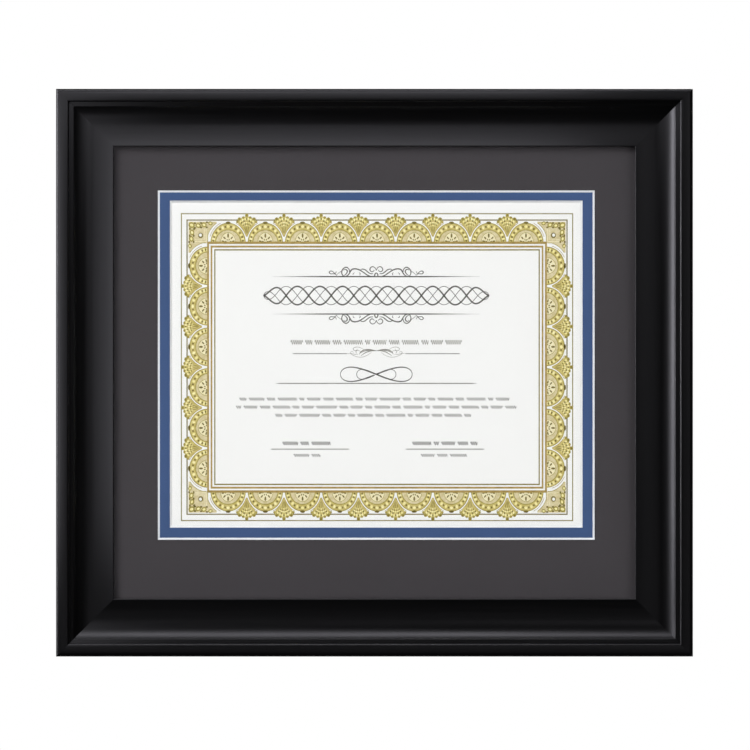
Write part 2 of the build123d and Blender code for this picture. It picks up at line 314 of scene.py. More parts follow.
outline = moulding_outline()
print("outline of", len(outline), "points, depth", round(float(outline[:, 1].max()) / MM, 2), "mm")

# %% [markdown]
# Satin black lacquer hides the colour of the wood but not its grain: fine pores run along each length
# and break up the shine. The noise is stretched along the rail by using the piece's own UV map, in
# metres. The flat back was never sprayed, so there the same tree shows bare wood.

# %% Finish: black lacquered wood
streak_stretch = (9, 420, 1)
pore_stretch = (60, 2600, 1)
cloud_stretch = (14, 30, 1)
growth_stretch = (3.5, 190, 1)


def lacquered_wood():
    """Black lacquer with a grain that shows in its shine, and bare timber where the back is unsprayed."""
    f = Finish("black_lacquered_wood", Specular_IOR_Level=0.5)
    streaks = f.noise(f.place(streak_stretch, uv="grain"), 1.0, 5.0, 0.6)
    pores = f.noise(f.place(pore_stretch, uv="grain"), 1.0, 2.0, 0.5)
    cloud = f.noise(f.place(cloud_stretch, uv="grain"), 1.0, 3.0)
    lacquer = f.ramp(streaks, [(0.3, (0.0010, 0.0010, 0.0011)), (0.7, (0.0019, 0.0018, 0.0020))])
    growth = f.noise(f.place(growth_stretch, uv="grain"), 1.0, 6.0, 0.62)
    browns = [(0.25, (0.30, 0.185, 0.095)), (0.5, (0.47, 0.32, 0.18)), (0.75, (0.58, 0.43, 0.27))]
    timber = f.ramp(growth, browns)
    bare = f.add("ShaderNodeAttribute", {"attribute_name": "bare"}).outputs["Fac"]
    edge = f.cut(f.maths("ADD", bare, f.span(cloud, -0.35, 0.35)), 0.42, 0.58)
    f.colour(f.mix(edge, lacquer, timber))
    shine = f.maths("ADD", f.span(streaks, 0.26, 0.38), f.span(cloud, -0.03, 0.03))
    f.roughness(f.maths("MAXIMUM", shine, f.maths("MULTIPLY", edge, 0.72)))
    f.bump(f.maths("ADD", streaks, f.maths("MULTIPLY", pores, 0.5)), 0.05 * MM, 0.35)
    return f.material


black_wood = lacquered_wood()
print("finish", black_wood.name)

# %% [markdown]
# Each rail is a grid: one parameter runs round the cross-section and the other along the length. Points
# further out lie further along, which is exactly what a mitre is, so the ends come out at 45 degrees.
# The frame was joined before it was sprayed, so the mitres close and show only as a turn in the shine.

# %% Rails
rail_stations = 25
grain_start, grain_spread = np.array([7, 5]), np.array([3.1, 2.3])
rail_sides = {
    "top_rail": ((0, 1), (1, 0)),
    "bottom_rail": ((0, -1), (-1, 0)),
    "left_rail": ((-1, 0), (0, 1)),
    "right_rail": ((1, 0), (0, -1)),
}
sight_middle = (sight_low + sight_high) / 2
sight_half = (sight_high - sight_low) / 2


def build_rail(name, outward, along):
    """Carry the outline along one side: reach = t * (half sight length + u), for t from -1 to 1."""
    outward, along = np.array(outward), np.array(along)
    u, v = outline[:, 0], outline[:, 1]
    half_length = abs(along) @ sight_half
    edge = sight_middle + outward * (abs(outward) @ sight_half)
    t = np.linspace(-1, 1, rail_stations)
    reach = t[:, None] * (half_length + u)[None, :]
    flat = edge + u[None, :, None] * outward + reach[..., None] * along
    depth = np.broadcast_to(back_y - v, reach.shape)
    points = np.stack([flat[..., 0], depth, flat[..., 1]], -1)
    count = len(outline)
    faces = grid_faces(rail_stations, count, close_columns=True)[:, ::-1].tolist()
    faces.append(list(range(count)))
    faces.append(list(range(rail_stations * count - 1, (rail_stations - 1) * count - 1, -1)))
    points = points.reshape(-1, 3)
    rail = make_piece(name + "_moulding", points, faces, black_wood)
    girth = np.concatenate([[0], np.cumsum(np.linalg.norm(np.diff(outline, axis=0), axis=1))])
    grain = np.stack([reach, np.broadcast_to(girth, reach.shape)], -1).reshape(-1, 2)
    grain += outward * grain_spread + grain_start
    corner_of = np.zeros(len(rail.data.loops), int)
    rail.data.loops.foreach_get("vertex_index", corner_of)
    rail.data.uv_layers.new(name="grain").data.foreach_set("uv", grain[corner_of].ravel())
    on_back = (v < back_edge_cut / 2) * np.ones((rail_stations, 1))
    rail.data.attributes.new("bare", "FLOAT", "POINT").data.foreach_set("value", on_back.ravel())
    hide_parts(name)
    return rail


rails = [build_rail(name, outward, along) for name, (outward, along) in rail_sides.items()]
print(len(rails), "rails,", sum(len(rail.data.polygons) for rail in rails), "faces")

# %% [markdown]
# Mat board is a pulp core faced with coloured paper. The paper is matt, with short fibres that make the
# colour very slightly uneven, and the cut core shows white on the slant of each window.

# %% Finishes: mats, sheet and boards
def paper_finish(name, colour, fibre=0.06, scale=1400.0, rough=0.85):
    """Matt paper: a colour that wanders with its fibres, and a faint tooth."""
    f = Finish(name, Roughness=rough, Specular_IOR_Level=0.1)
    where = f.place()
    fibres = f.noise(where, scale, 5.0, 0.65)
    cloud = f.noise(where, 24.0, 3.0)
    mixed = f.maths("ADD", f.maths("MULTIPLY", fibres, 0.7), f.maths("MULTIPLY", cloud, 0.3))
    darker = tuple(c * (1 - fibre) for c in colour)
    lighter = tuple(min(c * (1 + fibre), 1.0) for c in colour)
    f.colour(f.ramp(mixed, [(0.3, darker), (0.7, lighter)]))
    f.bump(fibres, 0.02 * MM, 0.25)
    return f.material


def hardboard_finish():
    """Pressed brown board: dark and light flecks, with a smooth slightly shiny face."""
    f = Finish("brown_hardboard", Specular_IOR_Level=0.35)
    where = f.place()
    flecks = f.noise(where, 900.0, 6.0, 0.7)
    cloud = f.noise(where, 11.0, 4.0)
    browns = [(0.32, (0.115, 0.06, 0.028)), (0.52, (0.2, 0.108, 0.052)), (0.7, (0.29, 0.17, 0.09))]
    f.colour(f.mix(f.span(cloud, 0.0, 0.35), f.ramp(flecks, browns), (0.15, 0.075, 0.035)))
    f.roughness(f.span(flecks, 0.42, 0.66))
    f.bump(flecks, 0.05 * MM, 0.3)
    return f.material


flat_finishes = {
    "outer_mat_facing": paper_finish("charcoal_mat_paper", from_srgb("444144"), 0.05),
    "inner_mat_facing": paper_finish("blue_mat_paper", from_srgb("435983"), 0.05),
    "outer_mat_core": paper_finish("outer_mat_core", (0.94, 0.95, 0.975), 0.02),
    # The inner core is a little darker than the outer one: painted shade, so that the inner window's bevels
    # look as if they lie in shade.
    "inner_mat_core": paper_finish("inner_mat_core", (0.91, 0.92, 0.945), 0.02),
    "certificate": paper_finish("certificate_paper", (0.95, 0.945, 0.935), 0.012, 900.0, 0.7),
    "mounting_board": paper_finish("mounting_board", (0.72, 0.70, 0.63), 0.05, 700.0),
    "backing_board": hardboard_finish(),
}
print(len(flat_finishes), "paper and board finishes")

# %% [markdown]
# Picture glass is nearly invisible from the front and mirrors the room at a slant. Light has to pass to
# the mats without the noise of refraction, so the sheet mixes a transparent shader with a mirror one. The
# mirror's share grows with the fifth power of the slant, a well-known shortcut for real glass, and counts
# the same on both faces. Faint wipe marks show in the mirror's roughness.

# %% Finish: picture glass
mirror_share = (0.014, 0.4)


def glass_finish():
    """Transparent where seen square on, mirror-like at a slant: share = low + (high - low) * facing**5."""
    f = Finish("clear_glass", Base_Color=(0.93, 0.96, 0.95, 1), Metallic=1.0)
    wipes = f.noise(f.place((3, 1, 16), turn=(0, 0.6, 0)), 9.0, 3.0)
    f.roughness(f.span(wipes, 0.01, 0.05))
    slant = f.add("ShaderNodeLayerWeight", Blend=0.5).outputs["Facing"]
    return f.see_through((0.995, 0.997, 0.996), f.span(f.maths("POWER", slant, 5.0), *mirror_share))


flat_finishes["glazing"] = glass_finish()


def dress(node_name, material):
    """Give one solid its finish."""
    slots = nodes[node_name].data.materials
    slots.clear()
    slots.append(material)


for node_name, material in flat_finishes.items():
    dress(node_name, material)
print(len(flat_finishes), "flat sheets dressed")

# %% [markdown]
# The fittings on the back are small and metal. Stamped steel keeps fine rolling lines, nickel plate is
# smoother and warmer, and a screw is dulled by its zinc. One helper makes them all: a grey that wanders in
# clouds, and fine drawn-out scratches in the roughness. The bumpers are moulded rubber with a fine tooth.

# %% Finishes: fittings
def metal_finish(name, dark, light, smooth, rough, stretch=(1, 1, 1)):
    """Bare metal: two greys mixed in clouds, and scratches, stretched noise, between two roughnesses."""
    f = Finish(name, Metallic=1.0)
    cloud = f.noise(f.place(), 190.0, 4.0)
    scratches = f.noise(f.place(stretch), 1100.0, 3.0, 0.6)
    f.colour(f.ramp(cloud, [(0.3, dark), (0.7, light)]))
    f.roughness(f.span(scratches, smooth, rough))
    f.bump(scratches, 0.012 * MM, 0.2)
    return f.material


def rubber_finish():
    """Black moulded rubber: nearly black, dusty in places, with a fine tooth."""
    f = Finish("bumper_rubber", Specular_IOR_Level=0.4)
    tooth = f.noise(f.place(), 2600.0, 3.0)
    dust = f.noise(f.place(), 240.0, 4.0)
    f.colour(f.ramp(dust, [(0.35, (0.012, 0.012, 0.013)), (0.75, (0.034, 0.033, 0.032))]))
    f.roughness(f.span(dust, 0.5, 0.72))
    f.bump(tooth, 0.03 * MM, 0.35)
    return f.material


def film_finish():
    """Clear film: see-through, with a soft shine that varies a little."""
    f = Finish("clear_film", Base_Color=(0.95, 0.95, 0.95, 1), Metallic=1.0)
    f.roughness(f.span(f.noise(f.place(), 300.0, 3.0), 0.12, 0.3))
    slant = f.add("ShaderNodeFresnel", IOR=1.5).outputs["Fac"]
    return f.see_through((0.97, 0.97, 0.97), slant)


rolled = (1, 1, 0.06)
fitting_finishes = {
    "corner_v_nails": metal_finish("nail_steel", (0.34, 0.35, 0.37), (0.5, 0.51, 0.53), 0.32, 0.55),
    "_screws": metal_finish("zinc_screw", (0.48, 0.49, 0.5), (0.66, 0.66, 0.65), 0.26, 0.5),
    "mounting_corners": film_finish(),
    "turn_button": metal_finish("button_steel", (0.5, 0.51, 0.52), (0.68, 0.68, 0.68), 0.3, 0.5, rolled),
    "_strap": metal_finish("nickel_strap", (0.6, 0.57, 0.52), (0.74, 0.71, 0.66), 0.22, 0.4, rolled),
    "_ring": metal_finish("nickel_ring", (0.6, 0.57, 0.52), (0.76, 0.73, 0.68), 0.14, 0.3),
    "_bumper": rubber_finish(),
}
fittings = {}
for node_name in nodes:
    for mark, material in fitting_finishes.items():
        if node_name.endswith(mark) or node_name.startswith(mark):
            fittings.setdefault(node_name, material)
for node_name, material in fittings.items():
    dress(node_name, material)
print(len(fittings), "fittings dressed")

# %% [markdown]
# Everything printed on the sheet is drawn as flat shapes in the sheet's own plane, x to the right and z
# up. A pen line is a path pushed out to both sides, an area is a strip between two lines, and a motif is
# drawn once and stamped round the border. Each ink then becomes one thin closed plate on the paper.

# %% Flat drawing helpers
def strip(first, second):
    """The area between two lines with as many points each."""
    points = np.stack([first, second])
    return points.reshape(-1, 2), grid_faces(2, len(first))


def pen_line(path, width):
    """A path pushed to both sides along its normals, by half the width at each point."""
    path = np.asarray(path, float)
    tangent = np.gradient(path, axis=0)
    tangent /= np.linalg.norm(tangent, axis=1, keepdims=True)
    normal = np.stack([-tangent[:, 1], tangent[:, 0]], 1)
    half = np.broadcast_to(np.asarray(width, float) / 2, (len(path),))[:, None]
    return strip(path - normal * half, path + normal * half)


def curve_through(points, count):
    """A smooth line through points: cubic pieces whose slope at a point follows its two neighbours."""
    points = np.asarray(points, float)
    padded = np.concatenate([[2 * points[0] - points[1]], points, [2 * points[-1] - points[-2]]])
    t = np.linspace(0, len(points) - 1, count)
    piece = np.minimum(t.astype(int), len(points) - 2)
    f = (t - piece)[:, None]
    before, start, end, after = (padded[piece + i] for i in range(4))
    cubic = 2 * start + (end - before) * f + (2 * before - 5 * start + 4 * end - after) * f**2
    return (cubic + (3 * start - before - 3 * end + after) * f**3) / 2


def swelling(count, thin, thick):
    """Pen widths that swell from thin ends to a thick middle, as half a sine wave."""
    return thin + (thick - thin) * np.sin(np.linspace(0, np.pi, count))


def half_oval(half_width, height, start=2.0, end=178.0, count=25):
    """Points of half an ellipse that stands on the base line, from right to left, between two angles."""
    angle = np.radians(np.linspace(start, end, count))
    return np.stack([half_width * np.cos(angle), height * np.sin(angle)], 1)


def oval_area(half_width, height):
    """Half an ellipse filled down to its base line."""
    arc = half_oval(half_width, height)
    return strip(arc * [1, 0], arc)


def oval_line(half_width, height, width, start=2.0, end=178.0):
    """A pen line along half an ellipse."""
    return pen_line(half_oval(half_width, height, start, end), width)


def bead(half_width, half_height):
    """A small ellipse of eight corners, cut into three four-sided faces."""
    angle = np.radians(np.arange(8) * 45 + 22.5)
    points = np.stack([half_width * np.cos(angle), half_height * np.sin(angle)], 1)
    return points, np.array([[0, 1, 2, 3], [0, 3, 4, 7], [4, 5, 6, 7]])


def frame_line(half_x, half_z, width_x, width_z):
    """A rectangle's outline, its upright and level sides each with their own width."""
    corner = np.array([[1, 1], [-1, 1], [-1, -1], [1, -1]])
    outer = corner * [half_x + width_x / 2, half_z + width_z / 2]
    inner = corner * [half_x - width_x / 2, half_z - width_z / 2]
    side = np.arange(4)
    after = (side + 1) % 4
    return np.concatenate([outer, inner]), np.stack([side, after, after + 4, side + 4], 1)


def stamp(shape, places, turns=0.0, sizes=1.0):
    """Copies of a shape, each sized, turned and moved to its place."""
    points, faces = shape
    places = np.atleast_2d(np.asarray(places, float))
    turns = np.broadcast_to(turns, len(places))[:, None]
    sizes = np.broadcast_to(sizes, len(places))[:, None]
    x = sizes * (points[:, 0] * np.cos(turns) - points[:, 1] * np.sin(turns)) + places[:, :1]
    z = sizes * (points[:, 0] * np.sin(turns) + points[:, 1] * np.cos(turns)) + places[:, 1:]
    first = np.arange(len(places))[:, None, None] * len(points)
    return np.stack([x, z], -1).reshape(-1, 2), (faces + first).reshape(-1, 4)


def together(*shapes):
    """Several shapes as one."""
    starts = np.cumsum([0] + [len(points) for points, faces in shapes[:-1]])
    points = np.concatenate([points for points, faces in shapes])
    return points, np.concatenate([faces + start for (_, faces), start in zip(shapes, starts)])


def mirrored(shape):
    """A shape and its copy on the other side of x = 0."""
    points, faces = shape
    return together(shape, (points * [-1, 1], faces))


print("flat drawing helpers ready")

# %% [markdown]
# An ink is a skin far thinner than paper. To keep it a real piece, the drawing is laid just in front of
# the sheet and given a back and side walls: every edge that belongs to only one face gets a wall. Inks
# that lie over others stand one layer further out.

# %% Inks
sheet_low, sheet_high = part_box("certificate")
sheet_middle = np.array([sheet_low.x + sheet_high.x, sheet_low.z + sheet_high.z]) / 2
print_offset = np.array([0.48, -1.80]) * MM
print_middle = sheet_middle + print_offset
ink_thickness = 0.008 * MM
ink_layer = 0.012 * MM
printed = []


def ink_finish(name, dark, light, scale=500.0, rough=0.55):
    """Printed ink: two shades of one colour that mix in small clouds, as ink does on paper."""
    f = Finish(name, Specular_IOR_Level=0.3)
    where = f.place()
    grain = f.noise(where, scale, 3.0)
    f.colour(f.ramp(grain, [(0.35, from_srgb(dark)), (0.65, from_srgb(light))]))
    f.roughness(f.span(f.noise(where, 1600.0, 2.0), rough - 0.08, rough + 0.08))
    f.bump(grain, 0.004 * MM, 0.2)
    return f.material


def print_ink(name, shape, material, layer):
    """A drawing as a thin closed plate: faces in front, the same faces behind, walls along free edges."""
    flat, faces = shape
    x, z = flat[faces][..., 0], flat[faces][..., 1]
    area = np.sum(x * np.roll(z, -1, 1) - z * np.roll(x, -1, 1), 1)
    faces = np.where((area > 0)[:, None], faces, faces[:, ::-1])
    edges = np.stack([faces, np.roll(faces, -1, 1)], -1).reshape(-1, 2)
    _, first, times = np.unique(np.sort(edges, 1), axis=0, return_index=True, return_counts=True)
    free = edges[first[times == 1]]
    count = len(flat)
    walls = np.stack([free[:, 1], free[:, 0], free[:, 0] + count, free[:, 1] + count], 1)
    page = flat + print_middle
    back = sheet_low.y - ink_layer * (layer + 1)
    depth = np.repeat([back - ink_thickness, back], count)
    points = np.stack([np.tile(page[:, 0], 2), depth, np.tile(page[:, 1], 2)], 1)
    faces = np.concatenate([faces, faces[:, ::-1] + count, walls])
    return make_piece(name, points, faces, material)


def print_all(inks, spread=together):
    """Print a table of drawings, each with its ink and layer, spread over the page by one function."""
    for name, (drawing, ink, layer) in inks.items():
        printed.append(print_ink(name, spread(drawing), ink, layer))


gold = ink_finish("gold_ink", "988a3a", "b3a552")
straw = ink_finish("straw_ink", "c4b264", "d7c780")
dark_gold = ink_finish("dark_gold_ink", "6e6320", "87793a")
light_gold = ink_finish("light_gold_ink", "f1e69a", "faf3c2")
brown_gold = ink_finish("brown_gold_ink", "9c8646", "b79d5c")
tan = ink_finish("tan_ink", "d2c392", "e2d6b0")
cream = ink_finish("cream_ink", "ede2b8", "f5edca")
blank = ink_finish("blank_ink", "fafaf7", "fcfcfa")
grey = ink_finish("grey_ink", "56544f", "6c6a65")
pale_grey = ink_finish("pale_grey_ink", "85837c", "9c9a92")
olive = ink_finish("olive_ink", "80763c", "968c50")
print("eleven inks, sheet front at y", round(sheet_low.y / MM, 3), "mm")

# %% [markdown]
# The gold border is a traditional one: half-oval shells on a base line, each with a band of beads, a tan
# hollow and a fan of seeds, and between the shells a palmette that reaches the outer line. All of it is
# drawn on an even page and then stretched a little upwards, as the printed one is. A shell is drawn once
# and stamped round the sheet, which keeps its thirty copies alike.

# %% Gold border: shells
page_stretch = 1.09
base_half = np.array([99.1, 72.7 / page_stretch]) * MM
shell_counts = np.array([9, 6])
step_share = np.array([0.9895, 0.979])
shell = np.array([10.1, 10.6]) * MM
hollow = np.array([7.4, 7.0]) * MM
seed_bed = np.array([4.45, 5.5]) * MM
band_middle = (shell + hollow) / 2
blank_gap = 0.75 * MM
flank_gap = 0.95 * MM
fine_line = 0.26 * MM


def border_places(fewer=0):
    """Middles of equal steps, a little short of the base lines, and the turn that points each outwards."""
    places, turns = [], []
    for run, turn in ((0, 0.0), (1, np.pi / 2), (0, np.pi), (1, -np.pi / 2)):
        count, out = shell_counts[run] - fewer, base_half[1 - run]
        step = 2 * base_half[run] / shell_counts[run] * step_share[run]
        along = (np.arange(count) - (count - 1) / 2) * step
        x = along * np.cos(turn) - out * np.sin(turn)
        z = along * np.sin(turn) + out * np.cos(turn)
        places.append(np.stack([x, z], 1))
        turns.append(np.full(count, turn))
    return np.concatenate(places), np.concatenate(turns)


def round_border(shape, fewer=0):
    """Stamp a motif along all four sides and stretch the page."""
    points, faces = stamp(shape, *border_places(fewer))
    return points * [1, page_stretch], faces


def along_oval(shape, size, degrees):
    """Stamp a shape along half an ellipse, its own up turned outwards."""
    angle = np.radians(degrees)
    places = np.stack([size[0] * np.cos(angle), size[1] * np.sin(angle)], 1)
    return stamp(shape, places, angle - np.pi / 2)


def both_sides(*degrees):
    """Angles on the right of an arch, and the same on its left."""
    return np.concatenate([degrees, 180 - np.array(degrees)])


light_beads = together(
    along_oval(bead(0.72 * MM, 1.0 * MM), band_middle, both_sides(2, 14.5, 29, 48, 68.5)),
    along_oval(bead(0.95 * MM, 0.8 * MM), band_middle, np.array([90.0])),
)
dark_marks = together(
    along_oval(bead(0.54 * MM, 0.6 * MM), band_middle, both_sides(8, 21, 38, 58, 79)),
    along_oval(bead(0.42 * MM, 1.0 * MM), seed_bed * 0.68, np.array([14, 46, 134, 166])),
    stamp(bead(0.56 * MM, 1.25 * MM), [0, seed_bed[1] * 0.72]),
    along_oval(bead(0.3 * MM, 0.6 * MM), seed_bed * 0.34, np.array([25, 68, 112, 155])),
    stamp(bead(1.5 * MM, 0.7 * MM), [0, shell[1] + 0.25 * MM]),
)
shell_lines = together(
    oval_line(*shell, 0.42 * MM),
    oval_line(*hollow, 0.44 * MM),
    oval_line(*seed_bed, fine_line),
)
flank_lines = together(
    oval_line(*(shell + flank_gap), fine_line, 17, 66),
    oval_line(*(shell + flank_gap), fine_line, 114, 163),
)
shell_inks = {
    "border_shell_gaps": (oval_area(*(shell + blank_gap)), blank, 2),
    "border_shells": (oval_area(*shell), straw, 3),
    "border_shell_hollows": (oval_area(*hollow), tan, 4),
    "border_seed_beds": (oval_area(*seed_bed), cream, 5),
    "border_light_beads": (light_beads, light_gold, 4),
    "border_dark_marks": (dark_marks, dark_gold, 6),
    "border_shell_lines": (shell_lines, gold, 6),
    "border_flank_lines": (flank_lines, brown_gold, 3),
}
print_all(shell_inks, round_border)
print(len(border_places()[0]), "shells")

# %% [markdown]
# A palmette fills the gap between two shells: a fan that opens from a narrow foot, with lobes along its
# edge and rows of light and dark beads across it. Its edge is a parabola. Every bead leans away from the
# foot, so the rows follow the fan, and only one half is listed, because the other is its mirror.

# %% Gold border: palmettes
fan_foot = np.array([0, 3.2]) * MM
fan_half = 5.7 * MM
fan_top = 14.2 * MM
fan_fall = 2.9 * MM
foot_share = 0.02


def fan_edge(count=25):
    """The fan's top line: highest in the middle and falling with the square of the distance from it."""
    share = np.linspace(1, -1, count)
    return np.stack([fan_half * share, fan_top - fan_fall * share**2], 1)


def bead_rows(*rows):
    """Rows of beads across the fan, each with half sizes, offsets and rises in millimetres."""
    beads = []
    for half_width, half_height, offsets, rises in rows:
        side = np.stack([offsets, rises], 1) * MM
        places = np.concatenate([side, side[side[:, 0] > 0] * [-1, 1]])
        lean = -np.arctan2(places[:, 0], places[:, 1] - fan_foot[1])
        beads.append(stamp(bead(half_width * MM, half_height * MM), places, lean))
    return together(*beads)


def between_shells(shape):
    """Stamp a motif once fewer along each side, which is halfway between the shells."""
    return round_border(shape, 1)


fan_lobes = bead_rows(
    (1.05, 1.0, [0], [14.75]),
    (0.85, 0.7, [2.05], [13.6]),
    (1.1, 1.0, [4.3], [12.75]),
    (0.75, 0.7, [5.55], [11.3]),
)
fan_light = bead_rows(
    (0.6, 0.78, [0.95, 2.3, 3.6], [12.9, 12.4, 11.4]),
    (0.52, 0.44, [0, 1.25, 2.4], [11.0, 10.8, 10.2]),
    (0.4, 0.46, [0, 1.3], [9.4, 9.0]),
)
fan_dark = bead_rows(
    (0.46, 0.46, [0, 4.3], [14.9, 12.9]),
    (0.42, 0.55, [0, 1.6, 3.0], [12.9, 11.7, 10.8]),
    (0.3, 0.42, [0.7, 2.0], [10.1, 9.6]),
    (0.17, 2.2, [0, 0.9], [7.0, 7.4]),
)
fan_inks = {
    "border_fans": (strip(fan_foot + (fan_edge() - fan_foot) * foot_share, fan_edge()), straw, 1),
    "border_fan_lobes": (fan_lobes, gold, 2),
    "border_fan_light": (fan_light, light_gold, 3),
    "border_fan_dark": (fan_dark, dark_gold, 4),
}
print_all(fan_inks, between_shells)
print(len(border_places(1)[0]), "palmettes")

# %% [markdown]
# Five ruled frames hold the border: a hairline and the outer line outside, the base line under the shells
# and two more inside. A pen line would round their corners, so each is a flat rectangle with a hole. The
# upright sides are a little finer than the level ones.

# %% Gold border: lines
outer_half = np.array([111.2, 86.1])
line_sizes = {
    "border_hairline": ((114.5, 89.8, 0.58, 0.58), olive, 0),
    "border_outer_line": ((*outer_half, 0.68, 0.68), dark_gold, 0),
    "border_base_line": ((98.9, 72.8, 1.1, 1.35), brown_gold, 8),
    "border_inner_line": ((96.9, 70.55, 0.95, 1.1), brown_gold, 0),
    "border_thin_line": ((94.95, 68.65, 0.7, 0.8), olive, 0),
}
print_all(line_sizes, lambda size: frame_line(*(np.array(size) * MM)))
print(len(line_sizes), "ruled frames")

# %% [markdown]
# Each corner is a tan block with a pearl, a cream frame and a border of leaves. The block has two wings
# that follow the neighbouring shells, so their edges are circles about those shells' middles. It is drawn
# for the upper left corner and mirrored to the others.

# %% Gold border: corners
corner_block = outer_half / [1, page_stretch] * MM - base_half
ground_reach = corner_block * 0.93
wing_middles = base_half * (1 - step_share * (shell_counts - 1) / shell_counts)
wing_radius = 12.6 * MM
wing_length = 5.2 * MM
edge_start = 0.8 * MM
edge_width = 0.3 * MM
leaf_places = np.array([[0.78, 0.78], [0.46, 0.76], [0.18, 0.79], [-0.13, 0.86]])
leaf_sizes = np.array([1.55, 1.3, 1.3, 1.05])
leaf_lean = 0.3
spot_places = np.array([[0.62, 0.86], [0.62, 0.66], [0.32, 0.87], [0.32, 0.68], [0.04, 0.90], [0.05, 0.68]])
pearl_place = corner_block * [0.34, 0.33]
pearl_glint = 0.15 * MM


def at_corners(shape):
    """A motif drawn for the upper left corner, measured from the base line's corner, at all four."""
    points, faces = shape
    signs = [np.array(s) for s in ((-1, 1), (1, 1), (-1, -1), (1, -1))]
    return together(*((s * (points + base_half) * [1, page_stretch], faces) for s in signs))


def wing_edge(away, count=12):
    """A side of the corner's ground: a circle about the nearest shell's middle, seen from the corner."""
    u = np.linspace(0, -wing_length, count)
    v = np.sqrt(wing_radius**2 - (u + away) ** 2)
    return np.stack([u, v], 1)


def leaf_row(long, short):
    """Ovals along the corner's top and, without the first, down its side."""
    return together(
        stamp(bead(long, short), leaf_places * corner_block, leaf_lean, leaf_sizes),
        stamp(bead(short, long), leaf_places[1:, ::-1] * corner_block, -leaf_lean, leaf_sizes[1:]),
    )


top_edge, side_edge = wing_edge(wing_middles[0]), wing_edge(wing_middles[1])[:, ::-1]
corner_ground = together(
    strip(np.array([[0, 0], [1, 0]]) * ground_reach, np.array([[0, 1], [1, 1]]) * ground_reach),
    strip(top_edge * [1, 0] + ground_reach * [0, 1], top_edge),
    strip(side_edge * [0, 1] + ground_reach * [1, 0], side_edge),
)
corner_edges = together(
    pen_line(np.concatenate([[[0, edge_start]], top_edge]), edge_width),
    pen_line(np.concatenate([[[edge_start, 0]], side_edge]), edge_width),
)
corner_spots = together(
    stamp(bead(0.74 * MM, 0.56 * MM), spot_places * corner_block),
    stamp(bead(0.56 * MM, 0.74 * MM), spot_places[:, ::-1] * corner_block),
    stamp(bead(1.55 * MM, 1.55 * MM), pearl_place),
)
corner_frame = together(
    pen_line(np.array([[0.7, 9.2], [0.9, 5.0], [0.7, 0.8]]) * MM, 0.34 * MM),
    pen_line(np.array([[9.2, 0.7], [5.0, 0.9], [0.8, 0.7]]) * MM, 0.34 * MM),
    pen_line(np.array([[1.9, 7.6], [2.0, 4.8], [1.9, 1.9], [4.8, 2.0], [7.6, 1.9]]) * MM, fine_line),
)
corner_inks = {
    "corner_grounds": (corner_ground, tan, 1),
    "corner_frames": (corner_frame, cream, 3),
    "corner_edges": (corner_edges, gold, 3),
    "corner_leaves": (leaf_row(1.3 * MM, 1.05 * MM), gold, 4),
    "corner_leaf_cores": (leaf_row(0.7 * MM, 0.5 * MM), light_gold, 5),
    "corner_spots": (corner_spots, dark_gold, 6),
    "corner_pearls": (stamp(bead(0.9 * MM, 0.9 * MM), pearl_place + pearl_glint), blank, 7),
}
print_all(corner_inks, at_corners)
print("border of", len(printed), "pieces")

# %% [markdown]
# Inside the border the sheet keeps its ruled lines and scrolls. A scroll is a handful of pen strokes that
# swell in the middle, so each is a smooth line through a few points, drawn for one half and mirrored.

# %% Rules and scrolls
centre_shift = -0.42 * MM
scroll_unit = 0.585 * MM


def rule(half_length, height, width, taper, middle=0.0, count=41):
    """A level line, its ends thinned over the taper's share of the length."""
    t = np.linspace(-1, 1, count)
    path = np.stack([middle + centre_shift + t * half_length, np.full(count, height)], 1)
    return pen_line(path, width * np.clip((1 - np.abs(t)) / taper, 0.12, 1))


def placed(shape, height, flip=1):
    """A drawing moved to the text's middle at a height, upside down if asked."""
    points, faces = shape
    return points * [1, flip] + [centre_shift, height], faces


def drawn_strokes(weight, *strokes):
    """Pen lines through points given in units, each with its thin and thick width, and their mirror."""
    lines = []
    for points, thin, thick in strokes:
        count = 8 * len(points)
        path = curve_through(np.array(points) * scroll_unit, count)
        lines.append(pen_line(path, swelling(count, thin, thick) * scroll_unit * weight))
    return mirrored(together(*lines))


scroll = drawn_strokes(
    1.2,
    ([(0, 6.1), (1.1, 8.6), (3.6, 10), (5.9, 8.7), (6.4, 6.6), (4.7, 4.9), (2.9, 5.4), (1.9, 6.6)], 0.5, 0.8),
    ([(0, 3.8), (1.05, 2.9), (1.6, 1.2), (1.2, 0.2)], 0.9, 0.9),
    ([(3.2, 2.9), (6.1, 3.1), (8.6, 4.7), (11.4, 6.9), (14.3, 7.5), (15.8, 6.7)], 0.5, 0.9),
    ([(6.1, 0.4), (8.9, 1.5), (12.5, 4.0), (15.4, 5.9), (18.2, 7.2), (21.8, 7.8), (24.7, 6.9), (26.2, 4.7),
      (27.2, 2.9), (28.9, 1.1), (30.7, 0.3)], 0.7, 1.1),
    ([(26.6, 3.6), (27.2, 7.0), (28.9, 8.9), (30.6, 9.3), (32.6, 8.3), (34.3, 6.1), (34.6, 3.6),
      (33.6, 1.2), (32.4, 0.3)], 0.6, 0.95),
    ([(32.9, 6.4), (31.1, 7.3), (29.4, 6.4), (29.1, 4.6), (30.4, 2.5), (32.6, 0.9)], 0.4, 1.0),
    ([(16.6, 1.2), (16.1, 3.0), (17.2, 4.1)], 0.3, 0.55),
    ([(21.6, 3.8), (23.0, 3.2), (23.3, 1.6)], 0.3, 0.5),
    ([(34.4, 6.1), (36.2, 4.7), (38.2, 3.2), (40.0, 1.4)], 0.25, 0.4),
    ([(40.0, 5.2), (41.2, 3.1), (43.6, 5.0), (45.7, 5.6), (47.1, 4.3), (45.7, 2.8), (43.6, 2.8),
      (41.4, 2.6), (39.6, 1.0)], 0.45, 0.75),
)
